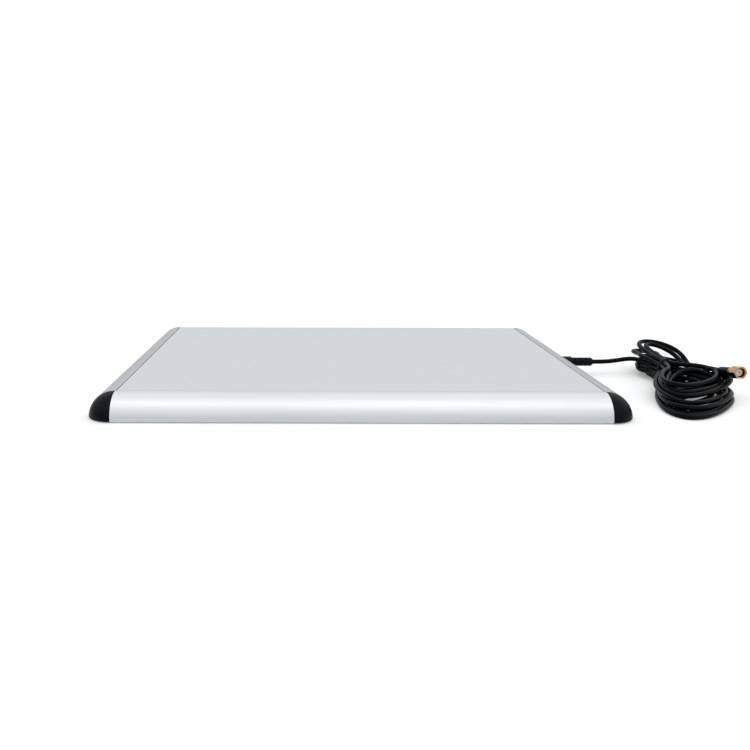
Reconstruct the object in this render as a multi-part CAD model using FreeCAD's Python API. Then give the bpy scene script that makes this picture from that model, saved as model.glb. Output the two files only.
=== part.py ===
import FreeCAD, Part
import math
import os

# Desktop RFID pad antenna: an extruded frame round a flat loop, with a coaxial lead and a screw-on plug.
# Millimetres. The origin is on the table under the middle of the frame. +X runs to the right along the
# long side, +Y to the rear and +Z up. The lead leaves through the right-hand rail.

# --- driving dimensions ---------------------------------------------------------------------------------

# Frame, overall
pad_width = 341.4
pad_depth = 251.4
pad_height = 16.0
foot_stand = 0.5            # how far the feet hold the frame off the table
fit_gap = 0.15              # between parts that slide together

# Rail extrusion
rail_width = 17.0           # from the panel's edge to the outermost line
rail_strip = 0.6            # flat beside the panel, before the shoulder curves down
rail_wall = 1.5
rail_toe = 0.8              # rounding of the lower outer edge
ledge_reach = 8.0           # how far the ledges run in under the panel and over the base plate
ledge_thickness = 1.5

# Corner caps
cap_wall = 2.0
cap_post_radius = 5.0       # solid core round the corner's axis
cap_end_wall = 2.0
spigot_length = 14.0
spigot_lead_in = 0.8

# Top panel
panel_thickness = 2.0
panel_groove = 0.5          # visible joint between the panel and the rails
panel_chamfer = 0.3
panel_corner_radius = 0.8

# Base plate, its screws and the feet
base_thickness = 1.5
base_gap = 0.2
foot_radius = 6.0
foot_thickness = 1.0
foot_chamfer = 0.25
foot_inset_x = 45.7         # foot centre from the frame's outer edge
foot_inset_y = 40.7
base_screw_radius = 1.25
base_screw_head_radius = 2.3
base_screw_length = 5.0
base_screw_spacing = 150.0  # between the two screws in the front and in the rear rail
screw_clearance = 0.05
screw_recess_radius = 0.75
screw_recess_depth = 0.8

# Shield, spacer and loop
stack_gap = 1.0             # between the ledges and the sheets inside them
shield_thickness = 0.5
loop_board_thickness = 1.6
loop_board_band = 22.0
loop_copper_thickness = 0.2
loop_copper_width = 10.0
loop_copper_inset = 6.0     # from the board's edge to the copper
loop_corner_radius = 12.0
loop_feed_gap = 14.0
loop_air = 0.3              # from the copper to the panel
spacer_notch_margin = 4.0   # round the tuning board

# Tuning board and what stands on it
board_length = 46.0         # along X
board_width = 44.0
board_thickness = 1.6
board_edge_clearance = 3.0  # from the shield's right-hand edge
standoff_height = 3.0
standoff_flats = 5.0
standoff_stub_radius = 1.6  # pressed into the base plate
standoff_clearance = 0.8
standoff_inset = 4.0
board_screw_radius = 1.25
board_screw_head_radius = 2.2
board_screw_head_height = 1.4
trimmer_radius = 3.0
trimmer_height = 2.6
trimmer_pitch = 9.0
resistor_length = 6.3
resistor_width = 3.2
resistor_height = 0.6
resistor_pitch = 5.0
chip_length = 3.2
chip_width = 1.6
chip_height = 1.2
chip_pitch = 3.0
chip_count = 5
balun_outer_radius = 5.0
balun_inner_radius = 2.6
balun_height = 2.4
balun_wire = 0.5            # thickness and width of one turn
balun_wire_gap = 0.05
balun_turns = 8
balun_place = 0.4           # its centre along the board, as a share of the board's length
trimmer_slot_width = 0.8
trimmer_slot_depth = 0.6
trimmer_slot_share = 0.6    # of the can's radius, each way
feed_pin_radius = 0.7

# Lead, its strain relief and its clamp
lead_diameter = 3.4
lead_bore_gap = 0.05
relief_height = 10.2        # axis above the table
relief_end = 31.5           # outer end, from the panel's edge
relief_shank_radius = 2.6
relief_shank_length = 5.0
relief_body_radius = 4.1
relief_body_end = 14.8
relief_neck_radius = 2.7
relief_neck_end = 16.4
relief_sleeve_radius = 3.25
relief_rib_width = 1.1
relief_slot_width = 0.9
relief_slot_depth = 0.9
relief_web_width = 1.4
relief_tip_length = 1.1
relief_tip_radius = 2.4
relief_nut_flats = 7.0
relief_nut_thickness = 2.5
clamp_length = 5.0
clamp_thickness = 0.8
clamp_ear = 5.0
clamp_inset = 5.0           # from the board's right-hand edge
tail_core_radius = 0.45
tail_core_length = 3.0
tail_insulation_radius = 1.0
tail_insulation_length = 3.0

# Hank of the lead: the tied neck, the wide lobe in front of it, the far end and the loose return loop
neck_x = 228.0
neck_y = -26.0
neck_height = 9.4           # axis above the table
neck_radius = 7.2
neck_back = 18.0            # how far the neck runs behind the tie, and in front of it
neck_front = 12.0
neck_heading = -62.0        # degrees from +X, towards the lobe
tie_thickness = 0.8
tie_width = 1.6
tie_gap = 0.1
lobe_outline = [(223.0, -36.5), (207.0, -60.0), (196.0, -90.0), (196.0, -114.0), (206.0, -122.0),
                (228.0, -109.0), (250.0, -88.0), (261.0, -66.0), (257.0, -48.0), (240.0, -36.5)]
return_outline = [(257.0, -52.0), (258.0, -40.0), (256.0, -24.0), (254.0, -8.0), (250.0, 8.0), (243.0, 21.0),
                  (232.0, 26.0), (218.0, 21.0), (211.0, 7.0), (212.0, -8.0), (219.0, -15.0), (226.0, -11.0),
                  (224.0, 0.0), (226.0, 9.0), (233.0, 14.0), (240.0, 9.0), (243.0, -2.0), (244.0, -18.0),
                  (245.0, -36.0), (247.0, -48.0)]
hank_roof = [(-130.0, 4.5), (-80.0, 12.0), (-36.0, 12.5), (5.0, 23.0), (40.0, 23.0)]  # Y and height

# Plug: stations are distances behind the face of the coupling nut
plug_face = (256.0, -76.0, 20.5)
plug_tilt = 10.0            # degrees, nose up
nut_flats = 8.0
nut_length = 6.5
nut_bore_radius = 3.15
nut_bore_depth = 5.0
nut_chamfer = 0.6
running_gap = 0.05
sleeve_start = 2.2
sleeve_radius = 2.3
plug_neck_radius = 2.4
flange_radius = 3.6
flange_start = 6.8
flange_end = 10.0
collar_radius = 2.6
collar_end = 12.5
stem_radius = 1.7
stem_end = 18.0
insulator_radius = 2.05
insulator_end = 6.0
pin_radius = 0.46
pin_tip = 0.7
pin_end = 8.0
core_radius = 1.0
gasket_start = 4.25
gasket_thickness = 0.65
gasket_radius = 3.0
ring_start = 5.5
ring_width = 0.5
ring_groove_gap = 0.05
ring_inner_radius = 2.2
ring_outer_radius = 2.75
ring_mouth = 60.0           # degrees left open
ferrule_radius = 2.2
ferrule_end = 21.5
boot_radius = 2.95
boot_shoulder = 13.5
boot_end = 24.0
boot_end_radius = 2.6

# Routes of the lead where it isn't wound, chosen by hand
lead_route = [(0.0, 0.0, 0.0), (9.0, 0.0, 0.0), (18.5, 0.8, 0.8), (28.5, 0.4, 1.0)]
end_route = [(231.0, -31.5, 15.8), (239.0, -35.5, 16.0), (247.0, -36.6, 15.8), (253.2, -40.6, 15.2)]
end_approach = 7.5          # straight run of the lead into the plug

# --- places worked out from the driving dimensions --------------------------------------------------------

frame_base = foot_stand
frame_top = pad_height
open_x = pad_width / 2 - rail_width
open_y = pad_depth / 2 - rail_width
panel_under = frame_top - panel_thickness
base_top = frame_base + base_thickness
stack_x = open_x - ledge_reach - stack_gap
stack_y = open_y - ledge_reach - stack_gap
shield_top = base_top + shield_thickness
copper_top = panel_under - loop_air
loop_board_top = copper_top - loop_copper_thickness
loop_board_under = loop_board_top - loop_board_thickness
board_under = base_top + standoff_height
board_top = board_under + board_thickness
board_right = stack_x - board_edge_clearance
board_left = board_right - board_length
lead_radius = lead_diameter / 2
Z_AXIS = FreeCAD.Vector(0, 0, 1)
X_AXIS = FreeCAD.Vector(1, 0, 0)
ORIGIN = FreeCAD.Vector(0, 0, 0)


# --- small helpers ---------------------------------------------------------------------------------------

def vec(x, y, z):
    return FreeCAD.Vector(x, y, z)


def block(low, high):
    """A box between two corners."""
    size = [b - a for a, b in zip(low, high)]
    return Part.makeBox(size[0], size[1], size[2], vec(*low))


def disc(radius, height, x, y, z):
    """A cylinder standing on (x, y, z)."""
    return Part.makeCylinder(radius, height, vec(x, y, z), Z_AXIS)


def hexagon(flats, height, centre, direction, first_corner=0.0):
    """A hexagonal prism that starts at centre and runs along direction."""
    radius = flats / math.sqrt(3)
    corners = []
    for i in range(7):
        angle = math.radians(60 * i + first_corner)
        corners.append(vec(radius * math.cos(angle), radius * math.sin(angle), 0))
    prism = Part.Face(Part.makePolygon(corners)).extrude(vec(0, 0, height))
    prism.Placement = FreeCAD.Placement(centre, FreeCAD.Rotation(Z_AXIS, direction))
    return prism


def rounded_plate(half_x, half_y, radius, low, high):
    """A plate centred on the origin with rounded vertical corners."""
    plate = block((-half_x, -half_y, low), (half_x, half_y, high))
    corners = [e for e in plate.Edges if abs(e.tangentAt(e.FirstParameter).z) > 0.9]
    return plate.makeFillet(radius, corners)


def turned(points, start, direction):
    """A turned piece: points are (distance along the axis, radius), closed back along the axis."""
    outline = [vec(points[0][0], 0, 0)]
    outline += [vec(along, 0, radius) for along, radius in points]
    outline += [vec(points[-1][0], 0, 0), vec(points[0][0], 0, 0)]
    kept = [outline[0]]
    for point in outline[1:]:
        if (point - kept[-1]).Length > 1e-6:
            kept.append(point)
    piece = Part.Face(Part.makePolygon(kept)).revolve(ORIGIN, X_AXIS, 360)
    piece.Placement = FreeCAD.Placement(start, FreeCAD.Rotation(X_AXIS, direction))
    return piece


def turned_about_z(shape, degrees):
    copy = shape.copy()
    copy.rotate(ORIGIN, Z_AXIS, degrees)
    return copy


def mirrored_quarters(x, y):
    return [(sx * x, sy * y) for sx in (-1, 1) for sy in (-1, 1)]


# --- frame -----------------------------------------------------------------------------------------------

def quarter_arc(first, last, corner, radius):
    """Arc of 90 degrees from first to last, rounding the given corner."""
    centre = first + last - corner
    return Part.Arc(first, centre + (corner - centre).normalize() * radius, last).toShape()


def rail_outline(inset):
    """The rail's outside in the XZ plane, x outward from the panel's edge, drawn in by inset."""
    low = frame_base
    toe = rail_toe if inset == 0 else 0
    reach = rail_width - rail_strip
    rise = frame_top - frame_base - rail_toe
    full_radius = (reach ** 2 + rise ** 2) / (2 * rise)
    radius = full_radius - inset
    centre = vec(rail_strip, 0, frame_top - full_radius)
    shoulder = centre + vec(0, 0, radius)
    drop = low + toe - centre.z
    ankle = vec(rail_strip + math.sqrt(radius ** 2 - drop ** 2), 0, low + toe)
    half_way = (shoulder - centre + ankle - centre).normalize()
    edges = [Part.makeLine(vec(0, 0, low), vec(0, 0, shoulder.z)),
             Part.makeLine(vec(0, 0, shoulder.z), shoulder),
             Part.Arc(shoulder, centre + half_way * radius, ankle).toShape()]
    sole = vec(ankle.x - toe, 0, low)
    if toe > 0:
        edges.append(quarter_arc(ankle, sole, vec(ankle.x, 0, low), toe))
    edges.append(Part.makeLine(sole, vec(0, 0, low)))
    return Part.Face(Part.Wire(edges))


def rail_bar(inset, length, inner, low):
    """A straight bar of the rail's outline along Y, kept outboard of inner and above low."""
    bar = rail_outline(inset)
    bar.translate(vec(0, -length / 2, 0))
    bar = bar.extrude(vec(0, length, 0))
    keep = block((inner, -length, low), (rail_width + 1, length, frame_top + 1))
    return bar.common(keep)


def rail(length):
    """One extrusion along Y: curved skin, web, two ledges, and its ends notched for the corner caps."""
    bar = rail_bar(0.0, length, 0.0, frame_base)
    bar = bar.cut(rail_bar(rail_wall, length + 2, rail_wall, frame_base + rail_wall))
    for low in (base_top, panel_under - ledge_thickness):
        ledge = block((-ledge_reach, -length / 2, low), (rail_wall, length / 2, low + ledge_thickness))
        bar = bar.fuse(ledge)
    notch = ledge_reach + fit_gap
    for side in (-1, 1):
        end = side * length / 2
        inboard = side * (length / 2 - notch)
        cutter = block((-ledge_reach - 1, min(end + side, inboard), frame_base - 1),
                       (rail_wall, max(end + side, inboard), panel_under))
        bar = bar.cut(cutter)
    return bar.removeSplitter()


def place_on_side(shape, quarter_turns):
    """Turns a piece made for the right-hand side to the side that many quarter turns further on."""
    reach = open_x if quarter_turns % 2 == 0 else open_y
    moved = shape.copy()
    moved.translate(vec(reach, 0, 0))
    return turned_about_z(moved, 90 * quarter_turns)


def corner_cap():
    """Cap for the rear right corner, with its axis on the origin: shell, two spigots and a screw lug."""
    cap = rail_outline(0.0).revolve(ORIGIN, Z_AXIS, 90)
    pocket = rail_outline(cap_wall).revolve(ORIGIN, Z_AXIS, 90)
    room = block((cap_end_wall, cap_end_wall, frame_base - 1), (rail_width, rail_width, frame_top))
    cap = cap.cut(pocket.common(room).cut(disc(cap_post_radius, pad_height, 0, 0, 0)))
    low = frame_base + rail_wall + fit_gap
    high = panel_under - fit_gap
    inner = rail_wall + fit_gap
    spigot = rail_bar(rail_wall + fit_gap, 2 * (spigot_length - spigot_lead_in), inner, low)
    slim = spigot_lead_in / 2
    nose = rail_bar(rail_wall + fit_gap + slim, 2 * spigot_length, inner + slim, low + slim)
    spigot = spigot.fuse(nose).common(block((0, -spigot_length, 0), (rail_width, 0, frame_top)))
    bridge = block((0, -ledge_reach, low), (inner + 2, 0, high))
    key = spigot.fuse(bridge)
    swapped = key.mirror(ORIGIN, vec(1, -1, 0))
    lug = block((-ledge_reach, -ledge_reach, low), (0, 0, high))
    cap = cap.fuse([key, swapped, lug])
    half = ledge_reach / 2
    cap = cap.cut(disc(base_screw_radius + screw_clearance, base_screw_length, -half, -half, frame_base))
    return cap.removeSplitter()


def base_screw_places():
    """Screw axes: one in each corner cap, and two in the front and the rear rail."""
    half = ledge_reach / 2
    places = mirrored_quarters(open_x - half, open_y - half)
    places += mirrored_quarters(base_screw_spacing / 2, open_y - half)
    return places


def make_frame():
    nodes = {}
    side_rail = rail(2 * open_y)
    long_rail = rail(2 * open_x)
    bore = Part.makeCylinder(relief_shank_radius + fit_gap, rail_width, vec(-1, 0, relief_height), X_AXIS)
    mouth = Part.makeCylinder(relief_body_radius + fit_gap, rail_width, vec(rail_wall, 0, relief_height),
                              X_AXIS)
    nut_room = relief_nut_flats / math.sqrt(3) + fit_gap
    notch = block((-ledge_reach - 1, -nut_room, panel_under - ledge_thickness),
                  (0, nut_room, panel_under))
    nodes["right_rail"] = place_on_side(side_rail.cut(bore).cut(mouth).cut(notch), 0)
    nodes["left_rail"] = place_on_side(side_rail, 2)
    for name, turns in (("rear_rail", 1), ("front_rail", 3)):
        bar = place_on_side(long_rail, turns)
        for x, y in base_screw_places():
            bar = bar.cut(disc(base_screw_radius + screw_clearance, base_screw_length, x, y, frame_base))
        nodes[name] = bar
    cap = corner_cap()
    corners = (("rear_right", 0, 1, 1), ("rear_left", 1, -1, 1), ("front_left", 2, -1, -1),
               ("front_right", 3, 1, -1))
    for name, turns, sx, sy in corners:
        corner = turned_about_z(cap, 90 * turns)
        corner.translate(vec(sx * open_x, sy * open_y, 0))
        nodes["corner_cap_" + name] = corner
    return nodes


# --- panel, base plate, feet ------------------------------------------------------------------------------

def make_panel():
    half_x = open_x - panel_groove
    half_y = open_y - panel_groove
    panel = rounded_plate(half_x, half_y, panel_corner_radius, panel_under, frame_top)
    rim = [e for e in panel.Edges if abs(e.CenterOfMass.z - frame_top) < 1e-6]
    return {"top_panel": panel.makeChamfer(panel_chamfer, rim)}


def countersunk_screw(x, y):
    """A countersunk screw driven upward, its head flush with the plate's underside."""
    depth = base_screw_head_radius - base_screw_radius
    screw = turned([(0, base_screw_head_radius), (depth, base_screw_radius),
                    (base_screw_length, base_screw_radius)], vec(x, y, frame_base), Z_AXIS)
    recess = hexagon(2 * screw_recess_radius, screw_recess_depth, vec(x, y, frame_base), Z_AXIS)
    return screw.cut(recess)


def make_base():
    plate = block((-open_x + base_gap, -open_y + base_gap, frame_base),
                  (open_x - base_gap, open_y - base_gap, base_top))
    head_depth = base_screw_head_radius - base_screw_radius
    for x, y in base_screw_places():
        plate = plate.cut(disc(base_screw_radius + screw_clearance, base_thickness, x, y, frame_base))
        sink = Part.makeCone(base_screw_head_radius + screw_clearance, base_screw_radius + screw_clearance,
                             head_depth, vec(x, y, frame_base), Z_AXIS)
        plate = plate.cut(sink)
    nodes = {}
    foot_x = pad_width / 2 - foot_inset_x
    foot_y = pad_depth / 2 - foot_inset_y
    for name, sx, sy in (("front_left", -1, -1), ("front_right", 1, -1), ("rear_left", -1, 1),
                         ("rear_right", 1, 1)):
        x, y = sx * foot_x, sy * foot_y
        foot = disc(foot_radius, foot_thickness, x, y, 0)
        rim = [e for e in foot.Edges if abs(e.CenterOfMass.z) < 1e-6 and e.Length > foot_radius]
        nodes["foot_" + name] = foot.makeChamfer(foot_chamfer, rim)
        plate = plate.cut(disc(foot_radius + fit_gap, foot_thickness - foot_stand, x, y, frame_base))
    for x, y in standoff_places():
        plate = plate.cut(disc(standoff_stub_radius + screw_clearance, base_thickness, x, y, frame_base))
    nodes["base_plate"] = plate
    nodes["base_screws"] = Part.makeCompound([countersunk_screw(x, y) for x, y in base_screw_places()])
    return nodes


# --- shield, spacer and loop ------------------------------------------------------------------------------

def standoff_places():
    half = board_width / 2 - standoff_inset
    columns = (board_left + standoff_inset, board_right - standoff_inset)
    return [(x, y) for x in columns for y in (-half, half)]


def feed_pin_places():
    """The two ends of the copper loop, either side of its gap on the right-hand side."""
    x = stack_x - loop_copper_inset - loop_copper_width / 2
    y = loop_feed_gap / 2 + loop_copper_width / 4
    return [(x, -y), (x, y)]


def make_stack():
    """Shield on the base plate, spacer on the shield, and the loop on its board just under the panel."""
    nodes = {}
    shield = block((-stack_x, -stack_y, base_top), (stack_x, stack_y, shield_top))
    for x, y in standoff_places():
        shield = shield.cut(disc(standoff_flats / math.sqrt(3) + standoff_clearance, shield_thickness,
                                 x, y, base_top))
    nodes["shield_plate"] = shield
    spacer = block((-stack_x, -stack_y, shield_top), (stack_x, stack_y, loop_board_under))
    room = block((board_left - spacer_notch_margin, -board_width / 2 - spacer_notch_margin, shield_top),
                 (stack_x, board_width / 2 + spacer_notch_margin, loop_board_under))
    nodes["foam_spacer"] = spacer.cut(room)
    board = rounded_plate(stack_x, stack_y, panel_corner_radius, loop_board_under, loop_board_top)
    window = rounded_plate(stack_x - loop_board_band, stack_y - loop_board_band, loop_corner_radius,
                           loop_board_under, loop_board_top)
    board = board.cut(window)
    outer_x = stack_x - loop_copper_inset
    outer_y = stack_y - loop_copper_inset
    copper = rounded_plate(outer_x, outer_y, loop_corner_radius, loop_board_top, copper_top)
    inner = rounded_plate(outer_x - loop_copper_width, outer_y - loop_copper_width,
                          loop_corner_radius - loop_copper_width / 2, loop_board_top, copper_top)
    gap = block((0, -loop_feed_gap / 2, loop_board_top), (stack_x, loop_feed_gap / 2, copper_top))
    copper = copper.cut(inner).cut(gap)
    pins = []
    for x, y in feed_pin_places():
        bore = disc(feed_pin_radius + screw_clearance, pad_height, x, y, 0)
        board = board.cut(bore)
        copper = copper.cut(bore)
        pins.append(disc(feed_pin_radius, copper_top - board_top, x, y, board_top))
    nodes["loop_board"] = board
    nodes["loop_conductor"] = copper
    nodes["feed_pins"] = Part.makeCompound(pins)
    return nodes


# --- tuning board -----------------------------------------------------------------------------------------

def pan_head_screw(x, y, under_head, length):
    screw = disc(board_screw_radius, length, x, y, under_head - length)
    return screw.fuse(disc(board_screw_head_radius, board_screw_head_height, x, y, under_head))


def trimmer(x, y):
    """A round trimmer capacitor with a screwdriver slot across its rotor."""
    can = disc(trimmer_radius, trimmer_height, x, y, board_top)
    top = board_top + trimmer_height
    reach = trimmer_radius * trimmer_slot_share
    slot = block((x - reach, y - trimmer_slot_width / 2, top - trimmer_slot_depth),
                 (x + reach, y + trimmer_slot_width / 2, top + 1))
    return can.cut(slot)


def clamp_screw_places():
    half = lead_radius + clamp_thickness + clamp_ear / 2
    return [(clamp_middle_x(), -half), (clamp_middle_x(), half)]


def clamp_middle_x():
    return board_right - clamp_inset - clamp_length / 2


def make_tuning_board():
    nodes = {}
    board = block((board_left, -board_width / 2, board_under), (board_right, board_width / 2, board_top))
    standoffs = []
    screws = []
    for x, y in standoff_places():
        board = board.cut(disc(board_screw_radius + screw_clearance, board_thickness, x, y, board_under))
        post = hexagon(standoff_flats, standoff_height, vec(x, y, base_top), Z_AXIS)
        stub_length = base_thickness - base_gap
        stub = disc(standoff_stub_radius, stub_length, x, y, base_top - stub_length)
        bore = disc(board_screw_radius + screw_clearance, standoff_height, x, y, base_top)
        standoffs.append(post.fuse(stub).cut(bore))
        screws.append(pan_head_screw(x, y, board_top, board_thickness + standoff_height - base_gap))
    nodes["board_standoffs"] = Part.makeCompound(standoffs)
    nodes["board_screws"] = Part.makeCompound(screws)
    clamp_screws = []
    for x, y in clamp_screw_places():
        board = board.cut(disc(board_screw_radius + screw_clearance, board_thickness, x, y, board_under))
        grip = clamp_thickness + board_thickness
        clamp_screws.append(pan_head_screw(x, y, board_top + clamp_thickness, grip))
    nodes["clamp_screws"] = Part.makeCompound(clamp_screws)
    nodes["tuning_board"] = board
    nodes["trimmer_capacitors"] = Part.makeCompound(
        [trimmer(board_left + 2 * trimmer_radius, side * trimmer_pitch / 2) for side in (-1, 1)])
    resistors = []
    chips = []
    far_y = board_width / 2 - standoff_inset - standoff_flats
    for side in (-1, 1):
        x = board_left + standoff_inset + standoff_flats
        y = side * (far_y - resistor_pitch / 2)
        resistors.append(block((x, y - resistor_width / 2, board_top),
                               (x + resistor_length, y + resistor_width / 2, board_top + resistor_height)))
    for i in range(chip_count):
        x = board_left + standoff_inset + standoff_flats + resistor_length + (i + 1) * chip_pitch
        chips.append(block((x, far_y - chip_length, board_top),
                           (x + chip_width, far_y, board_top + chip_height)))
    nodes["damping_resistors"] = Part.makeCompound(resistors)
    nodes["chip_capacitors"] = Part.makeCompound(chips)
    nodes.update(make_balun())
    return nodes


def make_balun():
    """A ring core with its winding, each turn a small rectangular frame round the ring's section."""
    x = board_left + board_length * balun_place
    bottom = board_top + balun_wire + balun_wire_gap
    core = disc(balun_outer_radius, balun_height, x, 0, bottom)
    core = core.cut(disc(balun_inner_radius, balun_height, x, 0, bottom))
    left = x + balun_inner_radius - balun_wire_gap
    right = x + balun_outer_radius + balun_wire_gap
    top = bottom + balun_height + balun_wire_gap
    half = balun_wire / 2
    inner = block((left, -half, board_top + balun_wire), (right, half, top))
    outer = block((left - balun_wire, -half, board_top), (right + balun_wire, half, top + balun_wire))
    turns = []
    for i in range(balun_turns):
        turn = outer.cut(inner)
        turn.rotate(vec(x, 0, 0), Z_AXIS, 360 * (i + 0.5) / balun_turns)
        turns.append(turn)
    return {"balun_core": core, "balun_winding": Part.makeCompound(turns)}


# --- lead -------------------------------------------------------------------------------------------------

def cord_tube(name, points, radius):
    """A round tube along straight runs joined by tangent arcs, each as large as its two runs allow."""
    points = [vec(*p) for p in points]
    edges = []
    radii = []
    start = points[0]
    for before, corner, after in zip(points, points[1:], points[2:]):
        into = (corner - before).normalize()
        out = (after - corner).normalize()
        turn = into.getAngle(out)
        reach = 0.45 * min((corner - before).Length, (after - corner).Length)
        arc_radius = reach / math.tan(turn / 2)
        first = corner - into * reach
        last = corner + out * reach
        inward = (out - into).normalize()
        middle = corner + inward * (arc_radius / math.cos(turn / 2) - arc_radius)
        edges.append(Part.LineSegment(start, first).toShape())
        edges.append(Part.Arc(first, middle, last).toShape())
        radii.append(arc_radius)
        start = last
    edges.append(Part.LineSegment(start, points[-1]).toShape())
    path = Part.Wire(edges)
    heading = (points[1] - points[0]).normalize()
    section = Part.Wire(Part.makeCircle(radius, points[0], heading))
    tube = path.makePipeShell([section], True, True)
    ratio = tube.Volume / (math.pi * radius ** 2 * path.Length)
    print(name, "length %.1f mm," % path.Length, "volume ratio %.4f," % ratio,
          "radii", ", ".join("%.0f" % r for r in radii))
    return tube


def make_relief():
    """The strain relief in the right-hand rail, its nut, and the clamped tail of the lead inside."""
    nodes = {}
    axis = vec(open_x, 0, relief_height)
    sleeve_end = relief_end - relief_tip_length
    relief = turned([(-relief_shank_length, relief_shank_radius), (rail_wall, relief_shank_radius),
                     (rail_wall, relief_body_radius), (relief_body_end, relief_body_radius),
                     (relief_body_end, relief_neck_radius), (relief_neck_end, relief_neck_radius),
                     (relief_neck_end, relief_sleeve_radius), (sleeve_end, relief_sleeve_radius),
                     (sleeve_end, relief_tip_radius), (relief_end, relief_tip_radius)], axis, X_AXIS)
    pitch = relief_rib_width + relief_slot_width
    count = int((sleeve_end - relief_neck_end - relief_rib_width) / pitch)
    slot_floor = relief_sleeve_radius - relief_slot_depth
    for i in range(count):
        at = relief_neck_end + relief_rib_width + i * pitch
        ring = turned([(at, relief_sleeve_radius + 1), (at + relief_slot_width, relief_sleeve_radius + 1)],
                      axis, X_AXIS)
        ring = ring.cut(turned([(at, slot_floor), (at + relief_slot_width, slot_floor)], axis, X_AXIS))
        half_web = relief_web_width / 2
        tall = relief_sleeve_radius + 2
        sides = (half_web, tall) if i % 2 == 0 else (tall, half_web)
        web = block((open_x + at - 1, -sides[0], relief_height - sides[1]),
                    (open_x + at + relief_slot_width + 1, sides[0], relief_height + sides[1]))
        relief = relief.cut(ring.cut(web))
    bore = turned([(-relief_shank_length - 1, lead_radius + lead_bore_gap),
                   (relief_end + 1, lead_radius + lead_bore_gap)], axis, X_AXIS)
    nodes["strain_relief"] = relief.cut(bore)
    nut_face = vec(open_x - relief_nut_thickness, 0, relief_height)
    nut = hexagon(relief_nut_flats, relief_nut_thickness, nut_face, X_AXIS, 30.0)
    nut_bore = turned([(-relief_nut_thickness - 1, relief_shank_radius + screw_clearance),
                       (1, relief_shank_radius + screw_clearance)], axis, X_AXIS)
    nodes["relief_nut"] = nut.cut(nut_bore)

    tail_height = board_top + lead_radius
    clamp_x = clamp_middle_x()
    jacket_end = clamp_x - clamp_length
    shank_end = open_x - relief_shank_length
    clamp_end = clamp_x + clamp_length / 2
    drop_start = shank_end - 0.27 * (shank_end - clamp_end)
    drop_end = clamp_end + 0.27 * (shank_end - clamp_end)
    route = [(open_x + relief_end, 0, relief_height), (drop_start, 0, relief_height),
             (drop_end, 0, tail_height), (jacket_end, 0, tail_height)]
    tail = cord_tube("lead_tail", route, lead_radius)
    inner = vec(jacket_end, 0, tail_height)
    stripped = turned([(0, tail_insulation_radius), (tail_insulation_length, tail_insulation_radius),
                       (tail_insulation_length, tail_core_radius),
                       (tail_insulation_length + tail_core_length, tail_core_radius)],
                      inner, vec(-1, 0, 0))
    nodes["lead_tail"] = tail.fuse(stripped)
    nodes["cable_clamp"] = make_clamp(clamp_x, tail_height)
    return nodes


def make_clamp(x, height):
    """A saddle over the lead with two ears on the board."""
    inner = lead_radius + lead_bore_gap
    outer = inner + clamp_thickness
    low = vec(x - clamp_length / 2, 0, height)
    saddle = Part.makeCylinder(outer, clamp_length, low, X_AXIS)
    legs = block((x - clamp_length / 2, -outer, board_top), (x + clamp_length / 2, outer, height))
    ears = block((x - clamp_length / 2, -outer - clamp_ear, board_top),
                 (x + clamp_length / 2, outer + clamp_ear, board_top + clamp_thickness))
    clamp = saddle.fuse([legs, ears]).common(
        block((x - clamp_length, -outer - clamp_ear, board_top), (x + clamp_length, outer + clamp_ear,
                                                                  frame_top)))
    hollow = Part.makeCylinder(inner, clamp_length, low, X_AXIS)
    channel = block((x - clamp_length / 2, -inner, board_top), (x + clamp_length / 2, inner, height))
    clamp = clamp.cut(hollow).cut(channel)
    for sx, sy in clamp_screw_places():
        clamp = clamp.cut(disc(board_screw_radius + screw_clearance, clamp_thickness, sx, sy, board_top))
    return clamp.removeSplitter()


# --- hank and tie -----------------------------------------------------------------------------------------

def soft_slab(points, height):
    """A slab on the table with a smooth closed outline through the points."""
    curve = Part.BSplineCurve()
    curve.interpolate([vec(x, y, 0) for x, y in points], PeriodicFlag=True)
    return Part.Face(Part.Wire(curve.toShape())).extrude(vec(0, 0, height))


def hank_direction():
    heading = math.radians(neck_heading)
    return vec(math.cos(heading), math.sin(heading), 0)


def make_hank():
    """One closed solid of the hank's outer shape, and the tie round its neck."""
    profile = [vec(0, y, z) for y, z in hank_roof]
    floor = [vec(0, hank_roof[-1][0], 0), vec(0, hank_roof[0][0], 0)]
    roof = Part.Face(Part.makePolygon(profile + floor + profile[:1])).extrude(vec(pad_width, 0, 0))
    height = max(z for y, z in hank_roof)
    lobe = soft_slab(lobe_outline, height).common(roof)
    returning = soft_slab(return_outline, height).common(roof)
    neck = vec(neck_x, neck_y, neck_height)
    along = hank_direction()
    bar = Part.makeCylinder(neck_radius, neck_back + neck_front, neck - along * neck_back, along)
    bar.rotate(neck, along, 180)    # brings the cylinder's seam away from the lobe's upper edge
    inner = neck_radius + tie_gap
    start = neck - along * (tie_width / 2)
    tie = Part.makeCylinder(inner + tie_thickness, tie_width, start, along)
    tie = tie.cut(Part.makeCylinder(inner, tie_width, start, along))
    return {"cable_hank": lobe.fuse([bar, returning]), "cable_tie": tie}


# --- plug -------------------------------------------------------------------------------------------------

def plug_axis():
    """Unit vector from the face of the nut back towards the lead."""
    tilt = math.radians(plug_tilt)
    return vec(0, math.cos(tilt), -math.sin(tilt))


def plug_turned(points):
    return turned(points, vec(*plug_face), plug_axis())


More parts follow.
